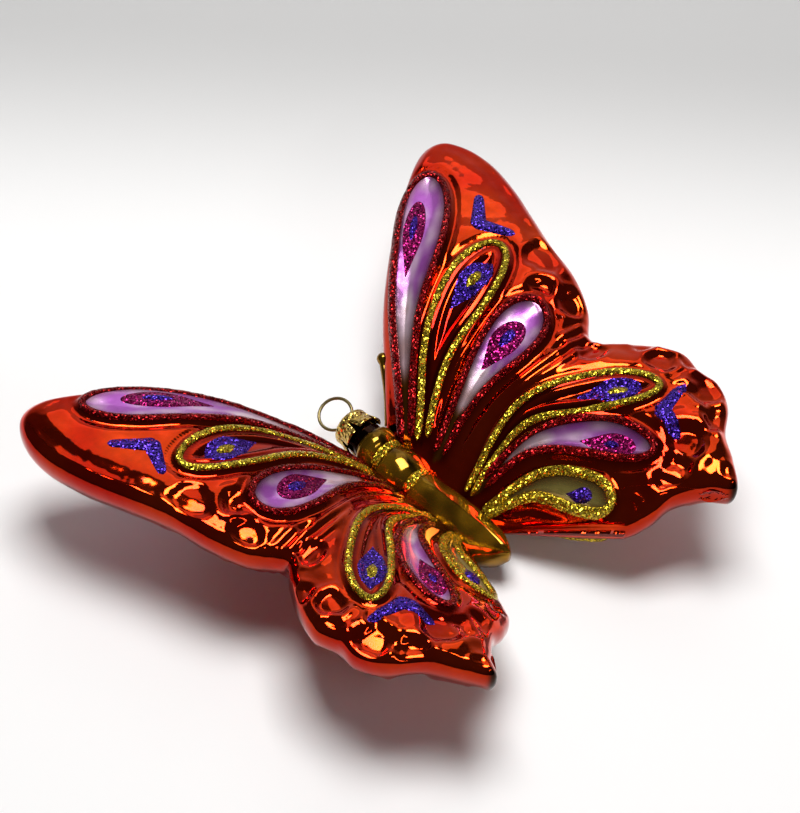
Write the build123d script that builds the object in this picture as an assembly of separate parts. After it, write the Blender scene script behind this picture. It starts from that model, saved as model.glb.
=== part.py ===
"""Butterfly hanging ornament: a mould-blown glass shell, its glitter trim, a crown cap and a spring clip.

Frame, in millimetres: +X to the butterfly's right wing, +Y to its head, +Z up.
The floor of the belly, where the ornament stands, is at z = 0 and the mirror plane is x = 0.
"""
from build123d import *
import math
import os

# Wings: plan, arch and pillow
half_span = 82.5
wing_length = 143.0
wing_top_thickness = 5.6
wing_belly_thickness = 8.4
root_half_thickness = 3.4
root_blend_length = 16.0
top_rim_radius = 6.5
belly_rim_radius = 8.0
wing_set_back = 27.5
wing_root_x = 7.0
wing_root_height = 9.4
wing_rise = 25.0
wing_arch_length = 50.0
notch_droop = 4.5
notch_droop_radius = 17.0
cell_dish_depth = 0.6

# The fan of sections that each wing is lofted through, from a hub line inside the body
hub_x = 3.0
hub_front_share = 0.1427
hub_back_share = -0.0923
sections_per_span = 2
last_section_share = 0.8983
hub_crowding = 1.3

# Body: lofted from the tip of the abdomen to the face, standing on a flat belly
body_crest_height = 15.0
body_half_width = 7.0
body_length = 54.0
body_tail_y = -26.5

# Neck of the blown shell, which leaves the face, and the bore that opens through it into the body
neck_outer_radius = 5.0
neck_bore_radius = 3.9
neck_height = 12.0
neck_length = 6.9
neck_root_depth = 3.5
neck_bore_depth = 5.0
body_bore_radius = 3.6
body_bore_height = 8.0
abdomen_plug_length = 14.5

# Crown cap pressed from thin sheet
cap_wall = 0.3
cap_clearance = 0.2
cap_seat_gap = 0.1
cap_skirt_length = 5.8
cap_dome_height = 1.3
cap_flare = 0.8
cap_flare_length = 3.6
petal_count = 6
petal_gap = 1.8
petal_depth = 4.4

# Spring clip bent from one wire
wire_radius = 0.45
loop_rise = 5.5
loop_radius = 4.7
leg_offset = 2.75
leg_hole_clearance = 0.15
leg_length = 6.9
leg_flare_radius = 6.0
leg_flare_angle = 22.0
loop_shoulder = 1.2
clip_tilt = 26.0

# Glitter trim laid on the glass as raised beads and pads
glue_line = 0.3
outline_width_share = 0.023
outline_height = 0.75
inner_outline_width_share = 0.0315
pad_height = 0.75
pad_gap = 0.15
least_rise_share = 0.4
chevron_width_share = 0.04
chevron_height = 0.8
band_width = 2.0
band_height = 0.7
antenna_radius = 0.9
club_radius = 1.7
cut_overrun = 2.0

# Wing outline from the head round the tip, notch and tail to the abdomen, as shares of half span and length
outline_shares = [
    (0.058, 0.172), (0.195, 0.263), (0.345, 0.358), (0.530, 0.445), (0.695, 0.508), (0.845, 0.555),
    (0.940, 0.552), (0.990, 0.505), (1.000, 0.440), (0.970, 0.360), (0.915, 0.274), (0.868, 0.200),
    (0.832, 0.120), (0.775, 0.053), (0.695, 0.000), (0.745, -0.046), (0.803, -0.100), (0.838, -0.160),
    (0.818, -0.210), (0.820, -0.254), (0.772, -0.303), (0.678, -0.345), (0.618, -0.395), (0.545, -0.441),
    (0.487, -0.401), (0.411, -0.364), (0.336, -0.352), (0.258, -0.322), (0.182, -0.250), (0.109, -0.173),
    (0.055, -0.112),
]
notch_share = (0.695, 0.000)

# Points along a section, closer together round the rim, as shares of its reach
reach_shares = [0.0, 0.12, 0.24, 0.36, 0.47, 0.57, 0.66, 0.74, 0.81, 0.865, 0.907, 0.943, 0.973, 0.993, 1.0]
typical_reach = 70.0

# Teardrop cells: root, two way points and end of the centre line, then the widest half width as a share
# of the pattern measure and the share of the length at which it lies
cell_shares = {
    "leading": ([(0.106, 0.150), (0.330, 0.290), (0.555, 0.388), (0.778, 0.488)], 0.080, 0.76),
    "fore_gold": ([(0.155, 0.128), (0.312, 0.192), (0.500, 0.231), (0.712, 0.262)], 0.084, 0.70),
    "fore_pink": ([(0.160, 0.070), (0.320, 0.090), (0.485, 0.098), (0.637, 0.114)], 0.086, 0.70),
    "hind_gold": ([(0.130, -0.032), (0.320, -0.028), (0.500, -0.104), (0.648, -0.191)], 0.066, 0.74),
    "hind_pink": ([(0.145, -0.054), (0.278, -0.082), (0.394, -0.168), (0.462, -0.278)], 0.058, 0.74),
    "hind_inner": ([(0.095, -0.095), (0.195, -0.140), (0.255, -0.222), (0.272, -0.281)], 0.046, 0.62),
}
root_width_share = 0.2
pattern_length_share = 0.577
hairpin_start_shares = {
    "leading": 0.12, "fore_gold": 0.08, "fore_pink": 0.05,
    "hind_gold": 0.30, "hind_pink": 0.30, "hind_inner": 0.25,
}

# Spots inside the cells: start, end and widest half width, as shares of half span and length
ring_shares = {
    "leading": ((0.430, 0.350), (0.660, 0.449), 0.028),
    "fore_gold": ((0.420, 0.232), (0.630, 0.243), 0.040),
    "fore_pink": ((0.333, 0.097), (0.538, 0.104), 0.040),
    "hind_gold": ((0.448, -0.080), (0.604, -0.168), 0.040),
    "hind_pink": ((0.358, -0.146), (0.434, -0.240), 0.034),
}
centre_shares = {
    "leading": ((0.495, 0.379), (0.620, 0.432), 0.012),
    "fore_gold": ((0.500, 0.239), (0.590, 0.242), 0.019),
    "fore_pink": ((0.412, 0.101), (0.502, 0.104), 0.019),
    "hind_gold": ((0.510, -0.116), (0.577, -0.153), 0.019),
    "hind_pink": ((0.386, -0.181), (0.418, -0.221), 0.015),
    "hind_inner": ((0.225, -0.190), (0.262, -0.240), 0.024),
}
chevron_shares = {
    "fore": [(0.832, 0.384), (0.730, 0.328), (0.787, 0.260)],
    "hind": [(0.715, -0.222), (0.580, -0.233), (0.551, -0.295)],
}
belly_chevron_shares = {
    "fore": [(0.905, 0.385), (0.842, 0.312), (0.830, 0.240)],
    "hind": [(0.768, -0.180), (0.742, -0.245), (0.690, -0.285)],
}
antenna_span_shares = (0.010, 0.026, 0.043)

# Body sections: place along the length, half width, crest and belly as shares, and how peaked the back is
body_shares = [
    (0.000, 0.16, 0.88, 0.52, 1.0), (0.050, 0.46, 0.94, 0.34, 1.2), (0.130, 0.80, 0.98, 0.14, 1.35),
    (0.240, 1.00, 1.00, -0.02, 1.4), (0.380, 1.02, 1.01, -0.06, 1.4), (0.520, 0.96, 1.00, -0.06, 1.3),
    (0.600, 0.86, 0.97, -0.06, 1.15), (0.640, 0.80, 0.93, -0.05, 1.0), (0.700, 0.98, 1.04, -0.04, 1.0),
    (0.760, 1.02, 1.08, -0.02, 1.0), (0.820, 0.94, 1.05, 0.06, 1.0), (0.855, 0.84, 1.01, 0.12, 1.0),
    (0.905, 0.93, 1.16, 0.22, 1.0), (0.955, 0.90, 1.17, 0.33, 1.0), (0.985, 0.70, 1.07, 0.50, 1.0),
    (1.000, 0.40, 0.98, 0.62, 1.0),
]
band_places_share = [0.640, 0.855]

body_side_points = 9
belly_flatness_share = 0.8
cell_line_steps = 14
outline_steps = 6
hairpin_side_steps = 6
hairpin_end_steps = 4
spot_steps = 7
spot_widest_share = 0.62
chevron_steps = 5
chevron_end_share = 0.3
band_steps = 8
band_half_turns = [48.0, 60.0]


def on_plan(shares):
    """A plan point from shares of the half span and the wing length, set back from the face."""
    return shares[0] * half_span, head_face_y - wing_set_back + shares[1] * wing_length


def smooth_line(points, steps):
    """Points on a curve that runs smoothly through the given plan points."""
    first = [2 * a - b for a, b in zip(points[0], points[1])]
    last = [2 * a - b for a, b in zip(points[-1], points[-2])]
    knots = [first] + list(points) + [last]
    line = []
    for i in range(1, len(knots) - 2):
        for k in range(steps):
            t = k / steps
            line.append(tuple(
                b + ((c - a) * t + (2 * a - 5 * b + 4 * c - d) * t**2 + (3 * b - a - 3 * c + d) * t**3) / 2
                for a, b, c, d in zip(knots[i - 1], knots[i], knots[i + 1], knots[i + 2])
            ))
    line.append(tuple(points[-1]))
    return line


def smooth_step(value):
    """Rise from 0 to 1 with level ends."""
    t = min(max(value, 0.0), 1.0)
    return t * t * (3 - 2 * t)


# The pattern's widths follow the smaller of half span and length, so that neighbours stay clear
pattern_measure = min(half_span, pattern_length_share * wing_length)
wing_faces = {1: (wing_top_thickness, top_rim_radius), -1: (wing_belly_thickness, belly_rim_radius)}
head_face_y = body_tail_y + body_length
neck_root_y = head_face_y - neck_root_depth
neck_end_y = head_face_y + neck_length
loop_centre_y = neck_end_y + loop_rise
leg_end_y = neck_end_y - leg_length
outline_points = [on_plan(p) for p in outline_shares]
outline = smooth_line(outline_points, outline_steps)
notch = on_plan(notch_share)
cell_lines = {}
for cell_name, (centre_line, _, _) in cell_shares.items():
    cell_lines[cell_name] = smooth_line([on_plan(p) for p in centre_line], cell_line_steps)


def teardrop(share, widest):
    """Half width of a teardrop along its length, 1 at its widest place and round at its end."""
    if share < widest:
        return root_width_share + (1 - root_width_share) * smooth_step(share / widest)
    return math.sqrt(max(0.0, 1 - ((share - widest) / (1 - widest)) ** 2))


def nearest(x, y, line):
    """Distance from a plan point to a polyline, and the share of its length where the nearest point lies."""
    best, place = math.inf, 0.0
    for i, ((ax, ay), (bx, by)) in enumerate(zip(line, line[1:])):
        dx, dy = bx - ax, by - ay
        t = min(max(((x - ax) * dx + (y - ay) * dy) / (dx * dx + dy * dy), 0.0), 1.0)
        gap = math.hypot(x - ax - t * dx, y - ay - t * dy)
        if gap < best:
            best, place = gap, (i + t) / (len(line) - 1)
    return best, place


def wing_mid(x, y):
    """Height of the wing's middle surface: a steep root that levels out, and drops beside the notch."""
    along = min((x - wing_root_x) / wing_arch_length, 1.0)
    arch = wing_root_height + wing_rise * math.sin(math.pi / 2 * along)
    reach = math.hypot(x - notch[0], y - notch[1]) / notch_droop_radius
    return arch - notch_droop * math.exp(-reach * reach)


def wing_pillow(x, y, face):
    """Thickness over or under the middle: a round rim, full inside and slimmer at the root."""
    thickness, rim_radius = wing_faces[face]
    across = min(nearest(x, y, outline)[0] / rim_radius, 1.0)
    inside = smooth_step((x - hub_x) / root_blend_length)
    full = root_half_thickness + (thickness - root_half_thickness) * inside
    return full * math.sqrt(1 - (1 - across) ** 2)


def cell_dish(x, y):
    """Depth of the teardrop dishes pressed into both faces of the wing."""
    dish = 0.0
    for name, (_, width, widest) in cell_shares.items():
        gap, place = nearest(x, y, cell_lines[name])
        reach = width * pattern_measure * teardrop(place, widest)
        if gap < reach:
            dish = max(dish, cell_dish_depth * (1 - (gap / reach) ** 2) ** 2)
    return dish * smooth_step(x / root_blend_length - 1)


def wing_height(x, y, face):
    """Height of the wing's upper (face 1) or lower (face -1) surface over a plan point."""
    thickness = wing_pillow(x, y, face)
    dish = min(cell_dish(x, y), 0.4 * thickness)
    return wing_mid(x, y) + face * (thickness - dish)


def section_places(face):
    """Where the points of a section lie on a face, as length along a typical one from hub to rim."""
    thickness, rim_radius = wing_faces[face]
    places = [0.0]
    for near, far in zip(reach_shares, reach_shares[1:]):
        rise = []
        for share in (near, far):
            across = min(typical_reach * (1 - share) / rim_radius, 1.0)
            rise.append(thickness * math.sqrt(1 - (1 - across) ** 2))
        places.append(places[-1] + math.hypot(typical_reach * (far - near), rise[0] - rise[1]))
    return places


def wing_section(rim, hub):
    """One closed radial section of the wing, from the hub out along the top, round the rim and back below."""
    top, below = [], []
    for share in reach_shares:
        x = hub[0] + (rim[0] - hub[0]) * share
        y = hub[1] + (rim[1] - hub[1]) * share
        top.append((x, y, wing_height(x, y, 1)))
        below.append((x, y, wing_height(x, y, -1)))
    out, back = section_places(1), section_places(-1)
    points = top[:-1] + [(x, y, wing_mid(x, y))] + below[-2::-1]
    places = out + [out[-1] + back[-1] - place for place in back[-2::-1]]
    skin = Edge.make_spline(points, parameters=places)
    return Wire([skin, Edge.make_line(points[-1], points[0])])


def wing():
    """The right wing, lofted through a fan of radial sections that follow its outline to the inner margin."""
    last = last_section_share * (len(outline) - 1)
    count = round(sections_per_span * last / outline_steps)
    sections = []
    for k in range(count + 1):
        place = last * k / count
        before = int(place)
        rim = tuple(a + (b - a) * (place - before) for a, b in zip(outline[before], outline[before + 1]))
        hub_share = hub_front_share + (hub_back_share - hub_front_share) * (k / count) ** hub_crowding
        sections.append(wing_section(rim, (hub_x, on_plan((0, hub_share))[1])))
    return Solid.make_loft(sections)


def body():
    """Head, thorax and abdomen in one loft of rounded rings with a peaked back."""
    rings = []
    for place, width, crest, belly, peak in body_shares:
        y = body_tail_y + body_length * place
        top = body_crest_height * crest
        bottom = body_crest_height * belly
        middle = (top + bottom) / 2
        half_height = (top - bottom) / 2
        half_width = body_half_width * width
        right = []
        for k in range(body_side_points):
            turn = math.pi * k / (body_side_points - 1)
            power = peak if math.cos(turn) < 0 else belly_flatness_share
            x = abs(math.sin(turn)) ** power * half_width
            z = math.copysign(abs(math.cos(turn)) ** min(power, 1.0), -math.cos(turn)) * half_height
            right.append((x, y, middle + z))
        left = [(-x, y, z) for x, y, z in reversed(right)]
        places = list(range(body_side_points))
        rings.append(Wire([Edge.make_spline(side, parameters=places) for side in (right, left)]))
    return Solid.make_loft(rings)


def along_neck(radius, height, start, end):
    """A round bar that runs in the direction of the neck."""
    return Pos(0, (start + end) / 2, height) * Rot(90, 0, 0) * Cylinder(radius, end - start)


def glass_shell():
    """Body, neck and both wings as one piece of glass, with a flat belly and the bore of the neck."""
    glass = body() + along_neck(neck_outer_radius, neck_height, neck_root_y, neck_end_y)
    under = Pos(0, 0, -body_crest_height / 2) * Box(2 * half_span, 2 * body_length, body_crest_height)
    right = wing()
    glass = glass - under + right + right.mirror(Plane.YZ)
    bore = along_neck(neck_bore_radius, neck_height, head_face_y - neck_bore_depth, neck_end_y + cut_overrun)
    abdomen_end = body_tail_y + abdomen_plug_length
    return glass - (bore + along_neck(body_bore_radius, body_bore_height, abdomen_end, neck_root_y))


def dome_arc(reach, base, rise):
    """Edge of a shallow dome from its middle out to its foot."""
    radius = (reach**2 + rise**2) / (2 * rise)
    middle = base + rise - radius + math.sqrt(radius**2 - (reach / 2) ** 2)
    return Edge.make_three_point_arc((0, base + rise), (reach / 2, middle), (reach, base))


def hanger_cap():
    """Crown cap: a dome over the neck's mouth and a skirt slit into petals, with two holes for the wire."""
    inner = neck_outer_radius + cap_clearance
    outer = inner + cap_wall
    shoulder = neck_end_y + cap_seat_gap
    hem = shoulder - cap_skirt_length
    flare = hem + cap_flare_length
    profile = Wire([
        dome_arc(outer, shoulder, cap_dome_height + cap_wall),
        Edge.make_line((outer, shoulder), (outer, flare)),
        Edge.make_line((outer, flare), (outer + cap_flare, hem)),
        Edge.make_line((outer + cap_flare, hem), (inner + cap_flare, hem)),
        Edge.make_line((inner + cap_flare, hem), (inner, flare)),
        Edge.make_line((inner, flare), (inner, shoulder)),
        dome_arc(inner, shoulder, cap_dome_height),
        Edge.make_line((0, shoulder + cap_dome_height), (0, shoulder + cap_dome_height + cap_wall)),
    ])
    cap = revolve(make_face(profile), Axis.Y)
    tip = hem + petal_depth
    below = hem - cut_overrun
    half = petal_gap / 2 * (tip - below) / petal_depth
    slit = extrude(make_face(Polyline((-half, below), (half, below), (0, tip), close=True)), 2 * outer)
    for k in range(petal_count):
        cap -= Rot(0, 360 / petal_count * (k + 0.5) - clip_tilt, 0) * slit
    hole = along_neck(wire_radius + leg_hole_clearance, 0, shoulder - cut_overrun, loop_centre_y)
    cap -= Rot(0, -clip_tilt, 0) * (Pos(leg_offset, 0, 0) * hole + Pos(-leg_offset, 0, 0) * hole)
    return Pos(0, 0, neck_height) * cap


def spring_clip():
    """One wire: a round loop, two shoulders, and two straight legs that spread at their ends."""
    shoulder_x = leg_offset + loop_shoulder
    reach = loop_radius + loop_shoulder
    drop = math.sqrt(reach**2 - shoulder_x**2)
    shoulder_y = loop_centre_y - drop
    touch = (shoulder_x * loop_radius / reach, loop_centre_y - drop * loop_radius / reach)
    bend = (math.pi + math.atan2(drop, -shoulder_x)) / 2
    half_bend = (shoulder_x + loop_shoulder * math.cos(bend), shoulder_y + loop_shoulder * math.sin(bend))
    flare_x = leg_offset + leg_flare_radius

    def flare_point(angle):
        turn = math.radians(angle)
        return flare_x - leg_flare_radius * math.cos(turn), leg_end_y - leg_flare_radius * math.sin(turn)

    def other(point):
        return -point[0], point[1]

    foot, top = (leg_offset, leg_end_y), (leg_offset, shoulder_y)
    end, half_flare = flare_point(leg_flare_angle), flare_point(leg_flare_angle / 2)
    path = Wire([
        Edge.make_three_point_arc(end, half_flare, foot),
        Edge.make_line(foot, top),
        Edge.make_three_point_arc(top, half_bend, touch),
        Edge.make_three_point_arc(touch, (0, loop_centre_y + loop_radius), other(touch)),
        Edge.make_three_point_arc(other(touch), other(half_bend), other(top)),
        Edge.make_line(other(top), other(foot)),
        Edge.make_three_point_arc(other(foot), other(half_flare), other(end)),
    ])
    wire = sweep(Plane(origin=path @ 0, z_dir=path % 0) * Circle(wire_radius), path)
    return Pos(0, 0, neck_height) * Rot(0, -clip_tilt, 0) * wire


def bead(line, half_widths, height, face, lift=0.0):
    """Glitter in a rounded bead or pad along a plan line, its base just over the glass."""
    sections = []
    last = len(line) - 1
    for i, (x, y) in enumerate(line):
        ax, ay = line[max(i - 1, 0)]
        bx, by = line[min(i + 1, last)]
        run = math.hypot(bx - ax, by - ay)
        across = (half_widths[i] * (ay - by) / run, half_widths[i] * (bx - ax) / run)
        rise = height * half_widths[i] / max(half_widths)
        plan = [(x - across[0], y - across[1]), (x, y), (x + across[0], y + across[1])]
        left, middle, right = (wing_height(px, py, face) + face * (glue_line + lift) for px, py in plan)
        bulge = face * max(0.0, face * (middle - (left + right) / 2))
        foot = [(*plan[0], left + bulge), (*plan[2], right + bulge)]
        slope = (right - left) / (2 * half_widths[i])
        hollow = max(0.0, face * ((left + right) / 2 - middle))
        out = face * max(rise - hollow, rise * least_rise_share) / math.hypot(1, slope)
        lean = -slope * out / half_widths[i]
        crown = (x + lean * across[0], y + lean * across[1], (left + right) / 2 + bulge + out)
        sections.append(Wire([Edge.make_line(*foot), Edge.make_three_point_arc(foot[1], crown, foot[0])]))
    return Solid.make_loft(sections, ruled=True)


def at_share(line, share):
    """Point and unit normal at a share of a plan line."""
    place = min(share * (len(line) - 1), len(line) - 1.001)
    i = int(place)
    (ax, ay), (bx, by) = line[i], line[i + 1]
    run = math.hypot(bx - ax, by - ay)
    point = (ax + (bx - ax) * (place - i), ay + (by - ay) * (place - i))
    return point, ((ay - by) / run, (bx - ax) / run)


def hairpin(name, width_share, face):
    """Bead of glitter that runs out along one side of a cell, round its end and back along the other."""
    _, cell_width, widest = cell_shares[name]
    start = hairpin_start_shares.get(name, 0.0)
    shares = [start + (widest - start) * k / hairpin_side_steps for k in range(hairpin_side_steps)]
    for k in range(hairpin_end_steps):
        shares.append(widest + (1 - widest) * math.sin(math.pi / 2 * k / hairpin_end_steps))
    sides = {1: [], -1: []}
    for share in shares:
        point, normal = at_share(cell_lines[name], share)
        reach = cell_width * pattern_measure * teardrop(share, widest)
        for side, points in sides.items():
            points.append(tuple(p + side * reach * n for p, n in zip(point, normal)))
    line = sides[1] + [cell_lines[name][-1]] + sides[-1][::-1]
    return bead(line, [width_share * pattern_measure / 2] * len(line), outline_height, face)


def spot(ends, face, lift=0.0):
    """Teardrop pad of glitter between two plan points, widest toward its second end."""
    start, end, width = ends
    (ax, ay), (bx, by) = on_plan(start), on_plan(end)
    line, half_widths = [], []
    for k in range(spot_steps):
        share = math.sin(math.pi / 2 * k / spot_steps)
        line.append((ax + (bx - ax) * share, ay + (by - ay) * share))
        half_widths.append(width * pattern_measure * teardrop(share, spot_widest_share))
    return bead(line, half_widths, pad_height, face, lift)


def chevron(name, face):
    """L-shaped stroke of glitter, thick at its corner and fine at its ends."""
    shares = chevron_shares if face > 0 else belly_chevron_shares
    line = smooth_line([on_plan(p) for p in shares[name]], chevron_steps)
    half_widths = []
    for k in range(len(line)):
        off = abs(2 * k / (len(line) - 1) - 1)
        half_widths.append(chevron_width_share * pattern_measure / 2 * (1 - (1 - chevron_end_share) * off))
    return bead(line, half_widths, chevron_height, face)


def body_ring_point(place, turn, out):
    """Point over the body's back at a place along it, turned from the crest, at a distance off the glass."""
    k = max(i for i in range(len(body_shares) - 1) if body_shares[i][0] <= place)
    near, far = body_shares[k], body_shares[k + 1]
    t = (place - near[0]) / (far[0] - near[0])
    width, crest, belly = (near[i] + (far[i] - near[i]) * t for i in (1, 2, 3))
    half_height = body_crest_height * (crest - belly) / 2
    middle = body_crest_height * (crest + belly) / 2
    angle = math.radians(turn)
    x = (body_half_width * width + out) * math.sin(angle)
    return x, body_tail_y + body_length * place, middle + (half_height + out) * math.cos(angle)


def body_band(place, half_turn):
    """Band of glitter in a crease across the body's back."""
    sections = []
    half = band_width / 2 / body_length
    for k in range(band_steps + 1):
        turn = half_turn * (2 * k / band_steps - 1)
        foot = [body_ring_point(place + side * half, turn, glue_line) for side in (-1, 1)]
        x, y, z = ((a + b) / 2 for a, b in zip(*foot))
        angle = math.radians(turn)
        crown = (x + band_height * math.sin(angle), y, z + band_height * math.cos(angle))
        sections.append(Wire([Edge.make_line(*foot), Edge.make_three_point_arc(foot[1], crown, foot[0])]))
    return Solid.make_loft(sections, ruled=True)


def antenna():
    """Feeler that lies along the leading rim of the right wing and ends in a round club."""
    points = []
    for share, radius in zip(antenna_span_shares, (antenna_radius, antenna_radius, club_radius)):
        (ax, ay), (bx, by) = outline[round(share * len(outline))], outline[round(share * len(outline)) + 1]
        run = math.hypot(bx - ax, by - ay)
        out = radius + glue_line
        x, y = ax + (ay - by) / run * out, ay + (bx - ax) / run * out
        points.append((x, y, wing_mid(x, y)))
    path = Edge.make_three_point_arc(*points)
    stem = sweep(Plane(origin=path @ 0, z_dir=path % 0) * Circle(antenna_radius), Wire([path]))
    return stem + Pos(*points[-1]) * Sphere(club_radius)


def wing_glitter(face):
    """Glitter of the right wing's upper or lower face, in one group for each wing and colour."""
    over = pad_height + pad_gap
    return {
        "forewing_gold": [
            hairpin("fore_gold", outline_width_share, face), spot(centre_shares["fore_gold"], face, over),
        ],
        "forewing_red": [hairpin(name, outline_width_share, face) for name in ("leading", "fore_pink")],
        "forewing_purple": [
            spot(ring_shares["fore_gold"], face), chevron("fore", face),
            spot(centre_shares["leading"], face, over), spot(centre_shares["fore_pink"], face, over),
        ],
        "forewing_magenta": [spot(ring_shares[name], face) for name in ("leading", "fore_pink")],
        "hindwing_gold": [
            hairpin("hind_gold", outline_width_share, face),
            hairpin("hind_inner", inner_outline_width_share, face),
            spot(centre_shares["hind_gold"], face, over),
        ],
        "hindwing_red": [hairpin("hind_pink", outline_width_share, face)],
        "hindwing_purple": [
            spot(ring_shares["hind_gold"], face), chevron("hind", face),
            spot(centre_shares["hind_pink"], face, over), spot(centre_shares["hind_inner"], face),
        ],
        "hindwing_magenta": [spot(ring_shares["hind_pink"], face)],
    }


if __name__ == "__main__":
    os.makedirs("parts", exist_ok=True)
    nodes = {"glass_shell": glass_shell(), "hanger_cap": hanger_cap(), "spring_clip": spring_clip()}
    bands = zip(band_places_share, band_half_turns)
    nodes["body_gold_glitter"] = Compound([body_band(place, turn) for place, turn in bands])
    right_antenna = antenna()
    nodes["right_antenna"] = right_antenna
    nodes["left_antenna"] = right_antenna.mirror(Plane.YZ)
    for face, side in ((1, "top"), (-1, "under")):
        for name, pieces in wing_glitter(face).items():
            group = Compound(pieces)
            nodes[f"right_{name}_{side}"] = group
            nodes[f"left_{name}_{side}"] = group.mirror(Plane.YZ)
    for name, node in nodes.items():
        export_step(node, f"parts/{name}.step")
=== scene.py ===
"""Butterfly ornament of mould-blown glass, silvered inside, lacquered outside and trimmed with glitter.

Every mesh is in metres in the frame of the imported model: +X to the right wing, +Y to the head, +Z up.
"""
import math

import bpy
import numpy as np
from bpy.props import FloatProperty, FloatVectorProperty, PointerProperty
from mathutils import Matrix, Vector, noise


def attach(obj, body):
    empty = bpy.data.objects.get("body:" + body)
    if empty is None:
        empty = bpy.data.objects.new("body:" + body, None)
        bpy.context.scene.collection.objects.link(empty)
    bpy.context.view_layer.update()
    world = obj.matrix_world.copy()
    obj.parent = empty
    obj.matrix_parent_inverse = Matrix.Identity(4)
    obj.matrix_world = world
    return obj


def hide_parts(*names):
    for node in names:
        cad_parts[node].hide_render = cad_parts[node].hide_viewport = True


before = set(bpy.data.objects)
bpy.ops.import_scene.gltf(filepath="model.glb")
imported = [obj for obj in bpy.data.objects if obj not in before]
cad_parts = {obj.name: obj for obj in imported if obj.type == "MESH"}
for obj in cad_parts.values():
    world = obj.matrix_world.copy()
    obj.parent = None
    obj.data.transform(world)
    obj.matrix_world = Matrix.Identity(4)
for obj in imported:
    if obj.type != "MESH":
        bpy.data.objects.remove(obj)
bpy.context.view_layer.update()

bl_info = {
    "name": "Butterfly Ornament",
    "version": (1, 0, 0),
    "blender": (4, 5, 0),
    "location": "View3D > Sidebar > Ornament",
    "description": "Blown-glass butterfly with glitter trim, scalloped cap and spring clip",
    "category": "Object",
}

MM = 0.001

# Wing outline from the head round the tip, notch and tail to the abdomen, as shares of half span and length
OUTLINE_SHARES = [
    (0.058, 0.172), (0.195, 0.263), (0.345, 0.358), (0.530, 0.445), (0.695, 0.508), (0.845, 0.555),
    (0.940, 0.552), (0.990, 0.505), (1.000, 0.440), (0.970, 0.360), (0.915, 0.274), (0.868, 0.200),
    (0.832, 0.120), (0.775, 0.053), (0.695, 0.000), (0.745, -0.046), (0.803, -0.100), (0.838, -0.160),
    (0.818, -0.210), (0.820, -0.254), (0.772, -0.303), (0.678, -0.345), (0.618, -0.395), (0.545, -0.441),
    (0.487, -0.401), (0.411, -0.364), (0.336, -0.352), (0.258, -0.322), (0.182, -0.250), (0.109, -0.173),
    (0.055, -0.112),
]
NOTCH_SHARE = (0.695, 0.000)
TAIL_SHARE = (0.545, -0.441)
LAST_STATION_SHARE = 0.8983
HUB_CROWDING = 1.3

# Teardrop cells: centre line, widest half width and where it lies, where the glitter starts, and the lacquer
CELLS = {
    "leading": (
        [(0.106, 0.150), (0.330, 0.290), (0.555, 0.388), (0.778, 0.488)],
        0.080, 0.76, 0.02, "lilac",
    ),
    "fore_gold": (
        [(0.155, 0.128), (0.312, 0.192), (0.500, 0.231), (0.712, 0.262)],
        0.084, 0.70, 0.0, "red",
    ),
    "fore_pink": (
        [(0.160, 0.070), (0.320, 0.090), (0.485, 0.098), (0.637, 0.114)],
        0.086, 0.70, 0.0, "lilac",
    ),
    "hind_gold": (
        [(0.130, -0.032), (0.320, -0.028), (0.500, -0.104), (0.648, -0.191)],
        0.066, 0.74, 0.0, "red",
    ),
    "hind_pink": (
        [(0.145, -0.054), (0.278, -0.082), (0.394, -0.168), (0.462, -0.278)],
        0.058, 0.74, 0.04, "lilac",
    ),
    "hind_inner": (
        [(0.095, -0.095), (0.195, -0.140), (0.255, -0.222), (0.272, -0.281)],
        0.046, 0.62, 0.02, "olive",
    ),
}
ROOT_WIDTH_SHARE = 0.2

# Spots: start, end and widest half width, as shares of half span and length
RINGS = {
    "leading": ((0.400, 0.338), (0.670, 0.454), 0.036),
    "fore_gold": ((0.415, 0.232), (0.635, 0.243), 0.050),
    "fore_pink": ((0.325, 0.097), (0.548, 0.104), 0.050),
    "hind_gold": ((0.442, -0.077), (0.608, -0.170), 0.046),
    "hind_pink": ((0.352, -0.138), (0.438, -0.248), 0.040),
}
CENTRES = {
    "leading": ((0.495, 0.381), (0.620, 0.434), 0.015),
    "fore_gold": ((0.490, 0.238), (0.595, 0.242), 0.023),
    "fore_pink": ((0.405, 0.101), (0.512, 0.104), 0.023),
    "hind_gold": ((0.504, -0.113), (0.580, -0.155), 0.022),
    "hind_pink": ((0.386, -0.181), (0.418, -0.221), 0.016),
    "hind_inner": ((0.225, -0.190), (0.262, -0.240), 0.024),
}
CHEVRONS = {
    "fore": [(0.832, 0.384), (0.730, 0.328), (0.787, 0.260)],
    "hind": [(0.715, -0.222), (0.580, -0.233), (0.551, -0.295)],
}
BELLY_CHEVRONS = {
    "fore": [(0.905, 0.385), (0.842, 0.312), (0.830, 0.240)],
    "hind": [(0.768, -0.180), (0.742, -0.245), (0.690, -0.285)],
}
ANTENNA_SPAN_SHARES = (0.010, 0.026, 0.043)

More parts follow.
